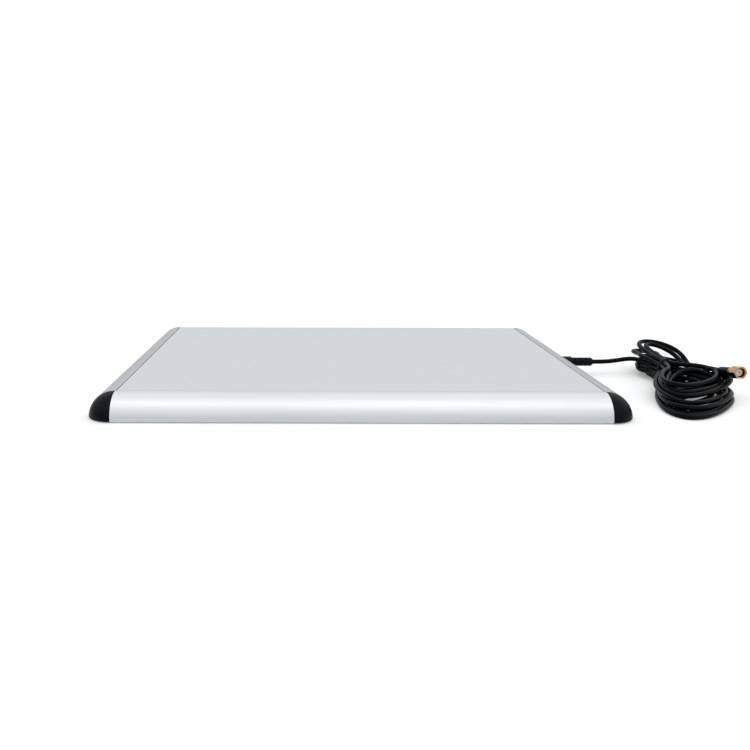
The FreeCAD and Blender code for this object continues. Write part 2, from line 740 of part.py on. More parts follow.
def make_plug():
    nodes = {}
    axis = plug_axis()
    face = vec(*plug_face)
    corner = nut_flats / math.sqrt(3)
    nut = hexagon(nut_flats, nut_length, face, axis)
    dress = plug_turned([(0, corner - nut_chamfer), (nut_chamfer / 2, corner), (nut_length - nut_chamfer / 2,
                         corner), (nut_length, corner - nut_chamfer)])
    shoulder_radius = plug_neck_radius + running_gap
    nut = nut.common(dress)
    nut = nut.cut(plug_turned([(-1, nut_bore_radius), (nut_bore_depth, nut_bore_radius),
                               (nut_bore_depth, shoulder_radius), (nut_length + 1, shoulder_radius)]))
    ring_end = ring_start + ring_width
    nut = nut.cut(plug_turned([(ring_start - ring_groove_gap, ring_outer_radius + 2 * ring_groove_gap),
                               (ring_end + ring_groove_gap, ring_outer_radius + 2 * ring_groove_gap)]))
    nodes["plug_nut"] = nut

    body = plug_turned([(sleeve_start, sleeve_radius), (nut_bore_depth, sleeve_radius),
                        (nut_bore_depth, plug_neck_radius), (flange_start, plug_neck_radius),
                        (flange_start, flange_radius), (flange_end, flange_radius),
                        (flange_end, collar_radius), (collar_end, collar_radius),
                        (collar_end, stem_radius), (stem_end, stem_radius)])
    body = body.cut(plug_turned([(sleeve_start - 1, insulator_radius), (insulator_end, insulator_radius),
                                 (insulator_end, core_radius), (stem_end + 1, core_radius)]))
    groove = plug_turned([(ring_start - ring_groove_gap, plug_neck_radius + 1),
                          (ring_end + ring_groove_gap, plug_neck_radius + 1)])
    groove = groove.cut(plug_turned([(ring_start - 1, ring_inner_radius - ring_groove_gap),
                                     (ring_end + 1, ring_inner_radius - ring_groove_gap)]))
    nodes["plug_body"] = body.cut(groove)

    pin = plug_turned([(pin_tip, pin_radius / 2), (pin_tip + pin_radius, pin_radius), (pin_end, pin_radius)])
    nodes["plug_pin"] = pin
    insulator = plug_turned([(sleeve_start, insulator_radius), (insulator_end, insulator_radius)])
    nodes["plug_insulator"] = insulator.cut(pin)
    gasket = plug_turned([(gasket_start, gasket_radius), (gasket_start + gasket_thickness, gasket_radius)])
    nodes["plug_gasket"] = gasket.cut(plug_turned([(gasket_start - 1, sleeve_radius + lead_bore_gap / 2),
                                                   (nut_length, sleeve_radius + lead_bore_gap / 2)]))
    ring = plug_turned([(ring_start, ring_outer_radius), (ring_end, ring_outer_radius)])
    ring = ring.cut(plug_turned([(ring_start - 1, ring_inner_radius), (ring_end + 1, ring_inner_radius)]))
    mouth = block((-ring_outer_radius * 2, 0, -1), (ring_outer_radius * 2, ring_outer_radius * 2, nut_length))
    half_mouth = mouth.copy()
    half_mouth.rotate(ORIGIN, Z_AXIS, ring_mouth)
    mouth = mouth.cut(half_mouth)
    mouth.Placement = FreeCAD.Placement(face, FreeCAD.Rotation(Z_AXIS, axis)).multiply(mouth.Placement)
    nodes["plug_ring"] = ring.cut(mouth)

    ferrule = plug_turned([(collar_end, ferrule_radius), (ferrule_end, ferrule_radius)])
    nodes["plug_ferrule"] = ferrule.cut(plug_turned([(collar_end - 1, stem_radius + running_gap),
                                                     (ferrule_end + 1, stem_radius + running_gap)]))
    boot = plug_turned([(flange_end, boot_radius), (boot_shoulder, boot_radius), (boot_end, boot_end_radius)])
    nodes["plug_boot"] = boot.cut(plug_turned(
        [(flange_end - 1, collar_radius), (collar_end, collar_radius), (collar_end, ferrule_radius),
         (ferrule_end, ferrule_radius), (ferrule_end, lead_radius + lead_bore_gap),
         (boot_end + 1, lead_radius + lead_bore_gap)]))
    return nodes


def make_lead(hank):
    """The lead where it isn't wound: from the strain relief to the hank, and from the hank to the plug."""
    start = vec(open_x + relief_end, 0, relief_height)
    route = [(start.x + x, start.y + y, start.z + z) for x, y, z in lead_route]
    nodes = {"cable_lead": cord_tube("cable_lead", route, lead_radius).cut(hank)}
    seat = vec(*plug_face) + plug_axis() * ferrule_end
    rear = seat + plug_axis() * end_approach
    route = end_route + [(rear.x, rear.y, rear.z), (seat.x, seat.y, seat.z)]
    nodes["cable_end"] = cord_tube("cable_end", route, lead_radius).cut(hank)
    return nodes


def main():
    os.makedirs("parts", exist_ok=True)
    nodes = {}
    for maker in (make_frame, make_panel, make_base, make_stack, make_tuning_board, make_relief, make_hank,
                  make_plug):
        nodes.update(maker())
    nodes.update(make_lead(nodes["cable_hank"]))
    for name, shape in nodes.items():
        shape.exportStep("parts/" + name + ".step")
    print(len(nodes), "nodes,", sum(len(shape.Solids) for shape in nodes.values()), "solids")


main()
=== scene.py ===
import math

import bmesh
import bpy
import numpy as np
from mathutils import Matrix, Vector


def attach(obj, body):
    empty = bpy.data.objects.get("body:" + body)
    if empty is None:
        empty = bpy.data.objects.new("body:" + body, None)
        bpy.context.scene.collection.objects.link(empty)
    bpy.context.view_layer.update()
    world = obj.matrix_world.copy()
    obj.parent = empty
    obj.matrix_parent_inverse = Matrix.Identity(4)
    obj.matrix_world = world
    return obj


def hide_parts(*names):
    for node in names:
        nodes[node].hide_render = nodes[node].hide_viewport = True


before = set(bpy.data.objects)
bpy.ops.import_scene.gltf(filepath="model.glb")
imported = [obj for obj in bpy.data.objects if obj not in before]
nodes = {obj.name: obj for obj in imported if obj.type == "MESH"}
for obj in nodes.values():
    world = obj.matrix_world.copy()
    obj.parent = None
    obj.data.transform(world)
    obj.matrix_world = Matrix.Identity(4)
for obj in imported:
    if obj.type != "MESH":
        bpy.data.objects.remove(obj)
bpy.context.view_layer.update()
scene = bpy.context.scene

MM = 0.001                  # the lead's points and the tie's sizes are in millimetres

# ---- the lead's route ----

CORD = 3.4
RADIUS = CORD / 2
LEAD = [(185.2, 0, 10.2), (194.2, 0, 10.2), (203.7, 0.8, 11.0), (213.7, 1.2, 12.6)]
END = [(231, -31.5, 16.2), (239, -35.5, 16.4), (247, -36.6, 16.0), (253.2, -40.6, 15.2)]
END_APPROACH = 7.5          # straight run into the plug

PLUG_TILT = math.radians(10)
PLUG_LENGTH = 21.5          # from the coupling nut's face back to the lead's seat
AXIS = np.array([0, -math.cos(PLUG_TILT), math.sin(PLUG_TILT)])
FACE = np.array([256.0, -76.0, 20.5])
SEAT = FACE - PLUG_LENGTH * AXIS

NECK = np.array([228.0, -26.0, 9.0])
NECK_HEADING = math.radians(-62)
NECK_HALF = (7.8, 9.0)      # half the width and half the height of what the tie holds
ALONG = np.array([math.cos(NECK_HEADING), math.sin(NECK_HEADING), 0])
ACROSS = np.array([-ALONG[1], ALONG[0], 0])
UP = np.array([0, 0, 1.0])

LOW_LOOP = [(217, -45), (210, -57), (204, -72), (200, -87), (198, -100), (197.5, -110), (200.5, -117),
            (207, -118.5), (216, -113), (226, -104.5), (236.5, -93), (246, -80.5), (253.5, -68.5),
            (257, -57), (251, -46), (240, -37)]
HIGH_LOOP = [(216, -43), (210.5, -53), (206.5, -63), (204.5, -72), (204.5, -79.5), (208, -84), (214, -83.5),
             (221, -80.5), (229, -76.5), (236.5, -72), (244, -66.5), (251, -60), (255.5, -52), (256, -46),
             (250, -39), (240, -33)]
SWAY_STEP = 2.3             # radians of sway from point to point of a near turn
SWAY_START = 5
SWAY_ACROSS = 0.5
INNER_NEARER = 0.5          # how much of the way inwards also goes nearer
BULGE_AT = 0.8              # share of a near turn where it bulges to the right
BULGE_SPREAD = 0.12
BULGE_DOWN = 0.4

FAR_ANGLES = (-40, -5, 30, 65, 100, 135, 170, 205)
FAR_STRETCH = 1.05          # a far turn is this much deeper than it is wide

ARCH_OUT = [(256.5, -38, 8.6), (256.4, -28, 7.8), (256, -18, 7.8), (255.6, -9.5, 9), (255.2, -3.5, 12.4),
            (254.2, 2.5, 15.6), (252, 10, 18.2), (246, 17, 20.4), (237.5, 21.5, 21.6), (229.6, 20, 21.2),
            (225.4, 14, 19.8), (225, 6, 17.8), (226.8, -4, 16.2), (228, -14, 15.2)]
ARCH_IN = [(253.5, -37, 12), (253, -27.5, 11), (252.4, -18.5, 9.8), (252, -10.5, 10), (251.6, -4.5, 12),
           (250.8, 1, 15), (248.6, 8, 17.6), (243.4, 14, 19.6), (237.4, 17.5, 20.8), (232, 15.2, 21),
           (229.8, 9, 19.8), (230.4, 0, 18.2), (231.2, -9, 17.2), (231.4, -18, 16.6)]
BEHIND = [(257, -38, 4.5), (259, -26, 5), (259.5, -13, 6.6), (258.5, -2, 8.6), (255.5, 7, 9.6), (250, 12.5, 9.8),
          (243, 14.5, 9.6), (236, 15, 9.4), (229, 13.5, 9.2), (224.4, 8, 9), (223, 0, 8.8), (223.4, -10, 8.4)]
SMALL_TURN = [(218.5, -48, 5.8), (215.5, -54, 5.6), (217.5, -60, 5.6), (225, -61.5, 5.6), (233.5, -59, 5.6),
              (241.5, -55, 5.6), (247, -49.5, 5.8), (245, -42, 6.4)]
BACK_TURN = [(242, -39), (234, -37), (226, -38.5), (220.5, -42.5)]


def crossing(side, z):
    """A point in the neck, side to the right of its middle."""
    x, y, _ = NECK + ACROSS * side
    return (x, y, z)


def lobe(t, near, rise, inner=0.0, wave=0.0, right=0.0):
    """One near turn from the neck round and back, t between the low and the high one.

    It lies near above the table at the front and rise above it at its two ends, inner inside the
    plain turn, sways by wave and bulges to the right on its way back.
    """
    points = []
    last = len(LOW_LOOP) - 1
    for i, (low, high) in enumerate(zip(LOW_LOOP, HIGH_LOOP)):
        x = low[0] + (high[0] - low[0]) * t
        y = low[1] + (high[1] - low[1]) * t
        s = i / last
        front = math.sin(math.pi * s) ** 2
        z = near * front + (rise[0] + (rise[1] - rise[0]) * s) * (1 - front)
        side = math.cos(math.pi * s)
        sway = wave * math.sin(SWAY_STEP * i + SWAY_START * wave)
        bulge = right * math.exp(-((s - BULGE_AT) / BULGE_SPREAD) ** 2)
        points.append((x + inner * side + SWAY_ACROSS * sway + bulge,
                       y + inner * INNER_NEARER * (1 - abs(side)) + sway - BULGE_DOWN * bulge, z))
    return points


def far_turn(x, y, radius, right, left):
    """One far turn, from its right side to its left side, each at its own height."""
    points = []
    for angle in FAR_ANGLES:
        q = math.radians(angle)
        s = (1 - math.cos(q)) / 2
        points.append((x + radius * math.cos(q), y + radius * FAR_STRETCH * math.sin(q), right + (left - right) * s))
    return points


def back_turn(z, nearer=0.0):
    """The way back to the left side on the near side of the tie."""
    return [(x, y - nearer, z) for x, y in BACK_TURN]


def hank():
    """The tied turns in the order in which the lead runs through them."""
    points = [(220.5, -2, 12.6), (222.4, -10, 11.8), crossing(-5.1, 10.9)]
    points += lobe(0.46, 5.8, (8.6, 6.5), 0.0, 0.4) + [crossing(0, 7.9)] + far_turn(235.6, 2.5, 7.6, 7, 2)
    points += [crossing(-3.4, 1.9)] + lobe(-0.06, 1.8, (1.8, 1.8)) + [crossing(3.4, 1.9)]
    points += far_turn(233.5, -1, 7.6, 1.8, 1.8)
    points += [crossing(0, 1.9)] + lobe(0.15, 1.9, (1.8, 1.8), 3.0, 0.3)[:-1] + back_turn(5.2)
    points += lobe(0.34, 1.8, (5.2, 3.4), 3.2, 0.2)[1:] + [crossing(5.1, 4.9)]
    points += far_turn(234, 2, 8, 5, 5.2)
    points += [crossing(-1.7, 4.9)] + lobe(1.42, 3.4, (1.8, 3.4), 6.0, 0.2)[:-1] + back_turn(6.4)
    points += lobe(1.25, 8.2, (6.4, 6.4), 3.4, 0.2)[1:-2] + back_turn(6.8, 5)[:-1]
    points += SMALL_TURN + [crossing(3.4, 7.9)]
    points += far_turn(232.6, 7, 9.3, 8.4, 5.6)
    points += [crossing(-5.1, 4.9)] + lobe(0.86, 2.0, (5.2, 3), 3.4, 0.3)[:-3] + BEHIND
    points += [crossing(-3.4, 7.9)] + lobe(0.24, 3.2, (5.2, 5), 0.5, 0.5, 1.0) + [crossing(5.1, 10.9)]
    points += far_turn(232, 11.5, 10, 11, 13.6)[:-1] + [(222.6, 4, 14), (224.4, -6, 13.4)]
    points += [crossing(-3.4, 13.2)] + lobe(0.65, 7.9, (10.2, 8.4), 1.7, 0.5, 4.5) + [crossing(1.7, 10.9)]
    points += far_turn(235.6, 8, 6.8, 9, 11) + [(228.2, -6, 11)]
    points += [crossing(-1.7, 10.9)] + lobe(0.84, 10.2, (9.5, 9), 3.4, 0.5, 2.0)[:-1] + ARCH_OUT
    points += [crossing(0, 13.9)] + lobe(1.0, 12.2, (12.8, 12.6), 0.3, 0.3)[:-1] + ARCH_IN
    return points


def route():
    """Every point of the lead from the strain relief to the plug."""
    into_plug = [tuple(SEAT - END_APPROACH * AXIS), tuple(SEAT)]
    return np.array(LEAD + hank() + END + into_plug, float)


def spline_rows(count, each):
    """Rows that turn control points into points of their quadratic spline."""
    rows = []
    for k in range(count - 2):
        for j in range(each):
            u = j / each
            a = (1 - u) ** 2 / (1 if k == 0 else 2)
            c = u ** 2 / (1 if k == count - 3 else 2)
            row = np.zeros(count)
            row[k], row[k + 1], row[k + 2] = a, 1 - a - c, c
            rows.append(row)
    rows.append(np.eye(count)[-1])
    return np.array(rows)


# ---- how the turns come to lie ----

ROUNDS = 240
PASSES = 4                  # pushes in each round
PAIRS_LAST = 6              # rounds for which a list of neighbours is used
EACH = 6                    # points of the line for each control point
GAP = 1.72                  # half the distance that strands keep from middle to middle
NEIGHBOUR = 3               # how much further off a strand still counts as a neighbour
APART = 4.2                 # gaps along the lead within which it doesn't meet itself
HELD = (5, 9)               # control points at the two ends that stay where they are
FALL = 0.007                # how far the turns sink in a round
FALL_UNTIL = 0.7            # share of the rounds in which they sink
SHAPE_PULL = 0.22           # towards the bends of the route, eased
HOME_PULL = 0.025           # towards the route's own points
PULL_START = 2              # the pulls last, and fade, over the first part of the rounds
PULL_END = 0.3
EASINGS = 3
FOLLOW = 1.1                # how far the control points follow a push
LEAST_WEIGHT = 0.15
LENGTH_PULL = 0.25
NECK_LENGTH = 3.0           # to each side of the tie
NECK_REACH = 16
NECK_PULL = 0.7
PLUG_REACH = 20.5
PLUG_RADIUS = 3.0
PLUG_STEP = 1.7             # the front of the plug is this much thicker
PLUG_FRONT = 0.45
PLUG_OWN = 10               # control points of the lead's own end
CLEAR = 0.05                # under the lead, above the table
TINY = 1e-9


def part_strands(line, one, two, move, seen):
    """Moves strands that meet away from each other."""
    away = line[two] - line[one]
    distance = np.linalg.norm(away, axis=1) + TINY
    hit = distance < 2 * GAP
    push = away[hit] / distance[hit, None] * ((2 * GAP - distance[hit]) / 2)[:, None]
    np.add.at(move, one[hit], -push)
    np.add.at(move, two[hit], push)
    np.add.at(seen, one[hit], 1)
    np.add.at(seen, two[hit], 1)
    move /= np.maximum(1, seen ** 0.5)[:, None]


def hold_in_neck(line, move, seen):
    """Moves what runs through the neck into the tie's oval."""
    along = (line - NECK) @ ALONG
    across = (line - NECK) @ ACROSS
    height = line[:, 2] - NECK[2]
    band = (np.abs(along) < NECK_LENGTH) & (np.abs(across) < NECK_REACH)
    oval = np.sqrt((across / (NECK_HALF[0] - RADIUS)) ** 2 + (height / (NECK_HALF[1] - RADIUS)) ** 2)
    outside = band & (oval > 1)
    back = (1 / oval[outside] - 1)[:, None] * (across[outside, None] * ACROSS + height[outside, None] * UP)
    move[outside] += NECK_PULL * back
    seen[outside] += 1


def clear_plug(line, move, seen):
    """Moves the turns off the plug, but not the lead's own end."""
    share = np.clip((line - SEAT) @ AXIS / PLUG_REACH, 0, 1)
    away = line - SEAT - share[:, None] * PLUG_REACH * AXIS
    distance = np.linalg.norm(away, axis=1) + TINY
    limit = GAP + PLUG_RADIUS + PLUG_STEP * (share > PLUG_FRONT)
    hit = distance < limit
    hit[-EACH * PLUG_OWN:] = False
    move[hit] += away[hit] / distance[hit, None] * (limit - distance)[hit, None]
    seen[hit] += 1


def keep_lengths(points, rest, free):
    """Brings each run between two control points back towards its length."""
    runs = np.diff(points, axis=0)
    length = np.linalg.norm(runs, axis=1)
    mend = runs / length[:, None] * ((length - rest) * LENGTH_PULL)[:, None]
    points[:-1][free[:-1]] += mend[free[:-1]]
    points[1:][free[1:]] -= mend[free[1:]]


def bends(points):
    """How the line of control points turns at each point but the first and the last."""
    return points[:-2] + points[2:] - 2 * points[1:-1]


def settle(control):
    """Pushes the turns apart where they meet, and keeps them in the neck and on the table."""
    points = control.copy()
    rows = spline_rows(len(points), EACH)
    free = np.ones(len(points), bool)
    free[:HELD[0]] = False
    free[-HELD[1]:] = False
    step = np.linalg.norm(np.diff(rows @ points, axis=0), axis=1).mean()
    every_one, every_two = np.triu_indices(len(rows), int(math.ceil(APART * GAP / step)))
    rest = np.linalg.norm(np.diff(points, axis=0), axis=1)
    eased = points.copy()
    for _ in range(EASINGS):
        eased[1:-1] = (eased[:-2] + 2 * eased[1:-1] + eased[2:]) / 4
    shape = bends(eased)
    for turn in range(ROUNDS):
        if turn % PAIRS_LAST == 0:
            line = rows @ points
            near = (np.abs(line[every_two] - line[every_one]) < 2 * GAP + NEIGHBOUR).all(1)
            one, two = every_one[near], every_two[near]
        if turn < ROUNDS * FALL_UNTIL:
            points[free, 2] -= FALL
        off = np.zeros_like(points)
        off[1:-1] = bends(points) - shape
        keep = min(1, max(0, (ROUNDS - turn) / ROUNDS * PULL_START - PULL_END))
        points[free] += keep * SHAPE_PULL * off[free]
        points[free] += keep * HOME_PULL * (control - points)[free]
        for _ in range(PASSES):
            line = rows @ points
            move = np.zeros_like(line)
            seen = np.zeros(len(line))
            part_strands(line, one, two, move, seen)
            hold_in_neck(line, move, seen)
            clear_plug(line, move, seen)
            weight = rows.T @ (seen > 0)
            shift = (rows.T @ move) / np.maximum(weight, LEAST_WEIGHT)[:, None]
            points[free] += FOLLOW * shift[free]
            keep_lengths(points, rest, free)
            points[free, 2] = np.maximum(points[free, 2], RADIUS + CLEAR)
    return points


# ---- the lead, one spline from the strain relief to the plug ----

LINE_POINTS = 8             # for each control point, in the line that shapes the tie

control = settle(route())
data = bpy.data.curves.new("lead_cord", "CURVE")
data.dimensions = "3D"
data.bevel_depth = 1.0      # times each point's radius
data.bevel_resolution = 5
data.resolution_u = 6
data.use_fill_caps = True
spline = data.splines.new("NURBS")
spline.points.add(len(control) - 1)
for point, place in zip(spline.points, control):
    point.co = (*(place * MM), 1)
    point.radius = RADIUS * MM
spline.order_u = 3
spline.use_endpoint_u = True
lead_cord = bpy.data.objects.new("lead_cord", data)
scene.collection.objects.link(lead_cord)
line = spline_rows(len(control), LINE_POINTS) @ control
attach(lead_cord, "pad")
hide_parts("cable_lead", "cable_hank", "cable_end")


# ---- the tie, a thin band drawn round the turns in the neck ----

TIE_WIDTH = 1.6
TIE_THICK = 0.7
TIE_INSIDE = 1.8            # from a strand's middle to the tie
TIE_FLOOR = (0.25, 0.05)    # its inside and its outside stay this far above the table
TIE_SLICE = 1.4             # strands within this of the neck's middle, to both sides, shape the tie
TIE_REACH = 12
TIE_ROUND = 20              # points round each strand
TIE_POINTS = 120            # round the tie
TIE_PROFILE = 16            # points round its section
TIE_SQUARE = 0.35           # under 1 its section is a rounded rectangle
TIE_EASINGS = 6


def hull(points):
    """The convex outline of flat points, anticlockwise."""
    points = sorted(map(tuple, points))

    def half(run):
        out = []
        for p in run:
            while len(out) > 1 and ((out[-1][0] - out[-2][0]) * (p[1] - out[-2][1])
                                    - (out[-1][1] - out[-2][1]) * (p[0] - out[-2][0])) <= 0:
                out.pop()
            out.append(p)
        return out[:-1]

    return np.array(half(points) + half(points[::-1]))


def smooth_ring(ring, count):
    """The same closed outline with points evenly spaced, its corners eased."""
    ring = np.vstack([ring, ring[:1]])
    s = np.r_[0, np.cumsum(np.linalg.norm(np.diff(ring, axis=0), axis=1))]
    at = np.linspace(0, s[-1], count, endpoint=False)
    out = np.stack([np.interp(at, s, ring[:, i]) for i in (0, 1)], 1)
    for _ in range(TIE_EASINGS):
        out = (np.roll(out, 1, 0) + 2 * out + np.roll(out, -1, 0)) / 4
    return out


def closed_band(name, rings):
    """A mesh through closed rings of points, the last ring joined to the first."""
    mesh = bpy.data.meshes.new(name)
    bm = bmesh.new()
    rows = [[bm.verts.new(Vector(p) * MM) for p in ring] for ring in rings]
    for one, two in zip(rows, rows[1:] + rows[:1]):
        for k in range(len(one)):
            bm.faces.new((one[k], one[k - 1], two[k - 1], two[k]))
    bmesh.ops.recalc_face_normals(bm, faces=bm.faces)
    bm.to_mesh(mesh)
    bm.free()
    for face in mesh.polygons:
        face.use_smooth = True
    thing = bpy.data.objects.new(name, mesh)
    scene.collection.objects.link(thing)
    return thing


def squared(v):
    """A sine or cosine moved towards 1, which squares a circle."""
    return math.copysign(abs(v) ** TIE_SQUARE, v)


def circle(count):
    """Angles evenly spaced round a circle."""
    return np.linspace(0, 2 * math.pi, count, endpoint=False)


def tie_rings():
    """Sections of the tie, one after the other round the strands in the neck."""
    near = (np.abs((line - NECK) @ ALONG) < TIE_SLICE) & (np.abs((line - NECK) @ ACROSS) < TIE_REACH)
    flat = []
    for p in line[near]:
        for q in circle(TIE_ROUND):
            height = p[2] - NECK[2] + TIE_INSIDE * math.sin(q)
            flat.append(((p - NECK) @ ACROSS + TIE_INSIDE * math.cos(q), max(height, TIE_FLOOR[0] - NECK[2])))
    inside = smooth_ring(hull(flat), TIE_POINTS)
    step = np.roll(inside, -1, 0) - np.roll(inside, 1, 0)
    outward = np.stack([step[:, 1], -step[:, 0]], 1) / np.linalg.norm(step, axis=1)[:, None]
    section = [(0.5 * TIE_WIDTH * squared(math.cos(q)), TIE_THICK * (0.5 + 0.5 * squared(math.sin(q))))
               for q in circle(TIE_PROFILE)]
    rings = []
    for place, way in zip(inside, outward):
        ring = []
        for along, out in section:
            across, height = place + way * out
            ring.append(NECK + ACROSS * across + UP * max(height, TIE_FLOOR[1] - NECK[2]) + ALONG * along)
        rings.append(ring)
    return rings


tie = closed_band("tie_band", tie_rings())
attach(tie, "pad")
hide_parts("cable_tie")


# ---- finishes ----

COOL = (0.78, 0.88, 1.0)    # tint of the sheen on black plastic
DETAIL = 4.0
FINE_DETAIL = 3.0
GRAIN_DETAIL = 2.0
FINE_STEP = 7.3             # the roughness varies this much finer than the colour
COLOUR_SPREAD = (0.35, 0.65)
ROUGH_SPREAD = (0.3, 0.7)
COAT_ROUGH = 0.2
EDGE_SAMPLES = 6            # rays for each rounded edge


def noise(tree, scale, detail, source):
    """Cloudy values from 0 to 1."""
    node = tree.nodes.new("ShaderNodeTexNoise")
    node.inputs["Scale"].default_value = scale
    node.inputs["Detail"].default_value = detail
    tree.links.new(source, node.inputs["Vector"])
    return node.outputs["Fac"]


def cells(tree, scale, source):
    """The distance to the middle of the nearest cell."""
    node = tree.nodes.new("ShaderNodeTexVoronoi")
    node.inputs["Scale"].default_value = scale
    tree.links.new(source, node.inputs["Vector"])
    return node.outputs["Distance"]


def paint(name, dark, light, metal=0.0, rough=(0.4, 0.5), mottle=60.0, grain=800.0, cellular=False, depth=0.00002,
          stretch=(1, 1, 1), specular=0.5, coat=0.0, sheen=0.0, edge=0.0, tint=(1, 1, 1)):
    """A finish whose colour, roughness and relief all vary over the surface."""
    made = bpy.data.materials.new(name)
    made.use_nodes = True
    tree = made.node_tree
    link = tree.links.new
    new = tree.nodes.new
    shader = tree.nodes["Principled BSDF"]
    shader.inputs["Metallic"].default_value = metal
    shader.inputs["Specular IOR Level"].default_value = specular
    shader.inputs["Specular Tint"].default_value = (*tint, 1)
    shader.inputs["Coat Weight"].default_value = coat
    shader.inputs["Coat Roughness"].default_value = COAT_ROUGH
    shader.inputs["Sheen Weight"].default_value = sheen
    place = new("ShaderNodeTexCoord")
    squeeze = new("ShaderNodeMapping")
    squeeze.inputs["Scale"].default_value = stretch
    link(place.outputs["Object"], squeeze.inputs["Vector"])
    surface = squeeze.outputs["Vector"]

    broad = noise(tree, mottle, DETAIL, surface)
    ramp = new("ShaderNodeValToRGB")
    for stop, at, colour in zip(ramp.color_ramp.elements, COLOUR_SPREAD, (dark, light)):
        stop.position = at
        stop.color = (*colour, 1)
    link(broad, ramp.inputs["Fac"])
    link(ramp.outputs["Color"], shader.inputs["Base Color"])

    fine = noise(tree, mottle * FINE_STEP, FINE_DETAIL, surface)
    varied = new("ShaderNodeMapRange")
    varied.inputs["From Min"].default_value, varied.inputs["From Max"].default_value = ROUGH_SPREAD
    varied.inputs["To Min"].default_value, varied.inputs["To Max"].default_value = rough
    link(fine, varied.inputs["Value"])
    link(varied.outputs["Result"], shader.inputs["Roughness"])

    height = cells(tree, grain, surface) if cellular else noise(tree, grain, GRAIN_DETAIL, surface)
    bump = new("ShaderNodeBump")
    bump.inputs["Strength"].default_value = 1.0
    bump.inputs["Distance"].default_value = depth
    link(height, bump.inputs["Height"])
    if edge:
        round_off = new("ShaderNodeBevel")
        round_off.samples = EDGE_SAMPLES
        round_off.inputs["Radius"].default_value = edge
        link(round_off.outputs["Normal"], bump.inputs["Normal"])
    link(bump.outputs["Normal"], shader.inputs["Normal"])
    return made


def grey(v, blue=0.0):
    """A grey whose blue is raised by a share, and its red lowered by half of that."""
    return (v * (1 - blue * 0.5), v, v * (1 + blue))


finishes = {
    "panel": paint("panel_paint", (0.705, 0.726, 0.748), (0.724, 0.746, 0.769), rough=(0.5, 0.6), mottle=140,
                   grain=1500, depth=0.000012, edge=0.0003),
    "rail_x": paint("rail_along_x", grey(0.83, 0.035), grey(0.88, 0.035), metal=1.0, rough=(0.38, 0.46),
                    mottle=260, grain=2600, depth=0.000002, stretch=(0.03, 1, 1), edge=0.0002),
    # side rails: the same aluminium as the front and rear rails, painted about a tenth darker, painted shade for the
    # dimmer light on their sides
    "rail_y_painted_shade": paint("rail_along_y_painted_shade", grey(0.75, 0.035), grey(0.8, 0.035), metal=1.0, rough=(0.3, 0.38),
                    mottle=260, grain=2600, depth=0.000002, stretch=(1, 0.03, 1), edge=0.0002),
    "cap": paint("cap_plastic", grey(0.003, 0.5), grey(0.005, 0.55), rough=(0.3, 0.38), specular=0.1,
                 tint=COOL, mottle=90, grain=2200, cellular=True, depth=0.00002, edge=0.0003),
    "base": paint("base_sheet", grey(0.5, 0.01), grey(0.57, 0.01), metal=1.0, rough=(0.38, 0.5),
                  mottle=120, grain=1500, depth=0.000003, stretch=(0.1, 1, 1)),
    "screw": paint("screw_zinc", grey(0.5, 0.02), grey(0.68, 0.03), metal=1.0, rough=(0.25, 0.38),
                   mottle=500, grain=3000, depth=0.000003),
    "foot": paint("foot_rubber", grey(0.018), grey(0.03), rough=(0.7, 0.85), mottle=300, grain=1800, depth=0.00003),
    "shield": paint("shield_sheet", grey(0.62, 0.01), grey(0.74, 0.01), metal=1.0, rough=(0.3, 0.42),
                    mottle=80, grain=1200, depth=0.000003, stretch=(1, 0.05, 1)),
    "foam": paint("foam_cells", (0.66, 0.66, 0.63), (0.84, 0.84, 0.81), rough=(0.85, 0.95), mottle=400,
                  grain=420, cellular=True, depth=0.0005, specular=0.2),
    "circuit_board": paint("board_laminate", (0.012, 0.09, 0.035), (0.02, 0.15, 0.06), rough=(0.25, 0.4),
                           mottle=220, grain=1600, depth=0.00001, coat=0.4),
    "copper": paint("copper_trace", (0.62, 0.27, 0.14), (0.85, 0.45, 0.28), metal=1.0, rough=(0.22, 0.36),
                    mottle=180, grain=1500, depth=0.000004),
    "board_part": paint("chip_body", (0.05, 0.045, 0.04), (0.16, 0.13, 0.10), rough=(0.35, 0.5), mottle=900,
                        grain=3000, depth=0.000006),
    "ferrite": paint("ferrite_core", grey(0.03), grey(0.06), rough=(0.5, 0.65), mottle=700, grain=2400,
                     depth=0.00003),
    "relief": paint("relief_nylon", grey(0.003, 0.3), grey(0.006, 0.35), rough=(0.3, 0.4), specular=0.17,
                    tint=COOL, mottle=240, grain=1800, cellular=True, depth=0.00001, edge=0.00015),
    "lead": paint("lead_jacket", grey(0.002, 0.4), grey(0.004, 0.45), rough=(0.16, 0.24), mottle=120,
                  grain=900, depth=0.00002, specular=0.078, tint=COOL),
    "gold": paint("gold_plate", (0.68, 0.43, 0.22), (0.9, 0.64, 0.39), metal=1.0, rough=(0.16, 0.3),
                  mottle=420, grain=2600, depth=0.000003, edge=0.00012),
    "ptfe": paint("ptfe_core", (0.74, 0.75, 0.74), (0.84, 0.85, 0.84), rough=(0.4, 0.55), mottle=600,
                  grain=2600, depth=0.000006, sheen=0.1),
    "gasket": paint("gasket_rubber", (0.22, 0.03, 0.015), (0.33, 0.05, 0.03), rough=(0.5, 0.6), mottle=600,
                    grain=2500, depth=0.00001),
}
for name, node in nodes.items():
    kind = node.data.materials[0].name.split(".")[0]
    if kind == "rail":
        # the side rails take the darker copy of the aluminium, painted shade
        kind = "rail_x" if name in ("front_rail", "rear_rail") else "rail_y_painted_shade"
    node.material_slots[0].material = finishes[kind]
lead_cord.data.materials.append(finishes["lead"])
tie.data.materials.append(finishes["relief"])


# ---- floor, light and camera; from here on in metres ----

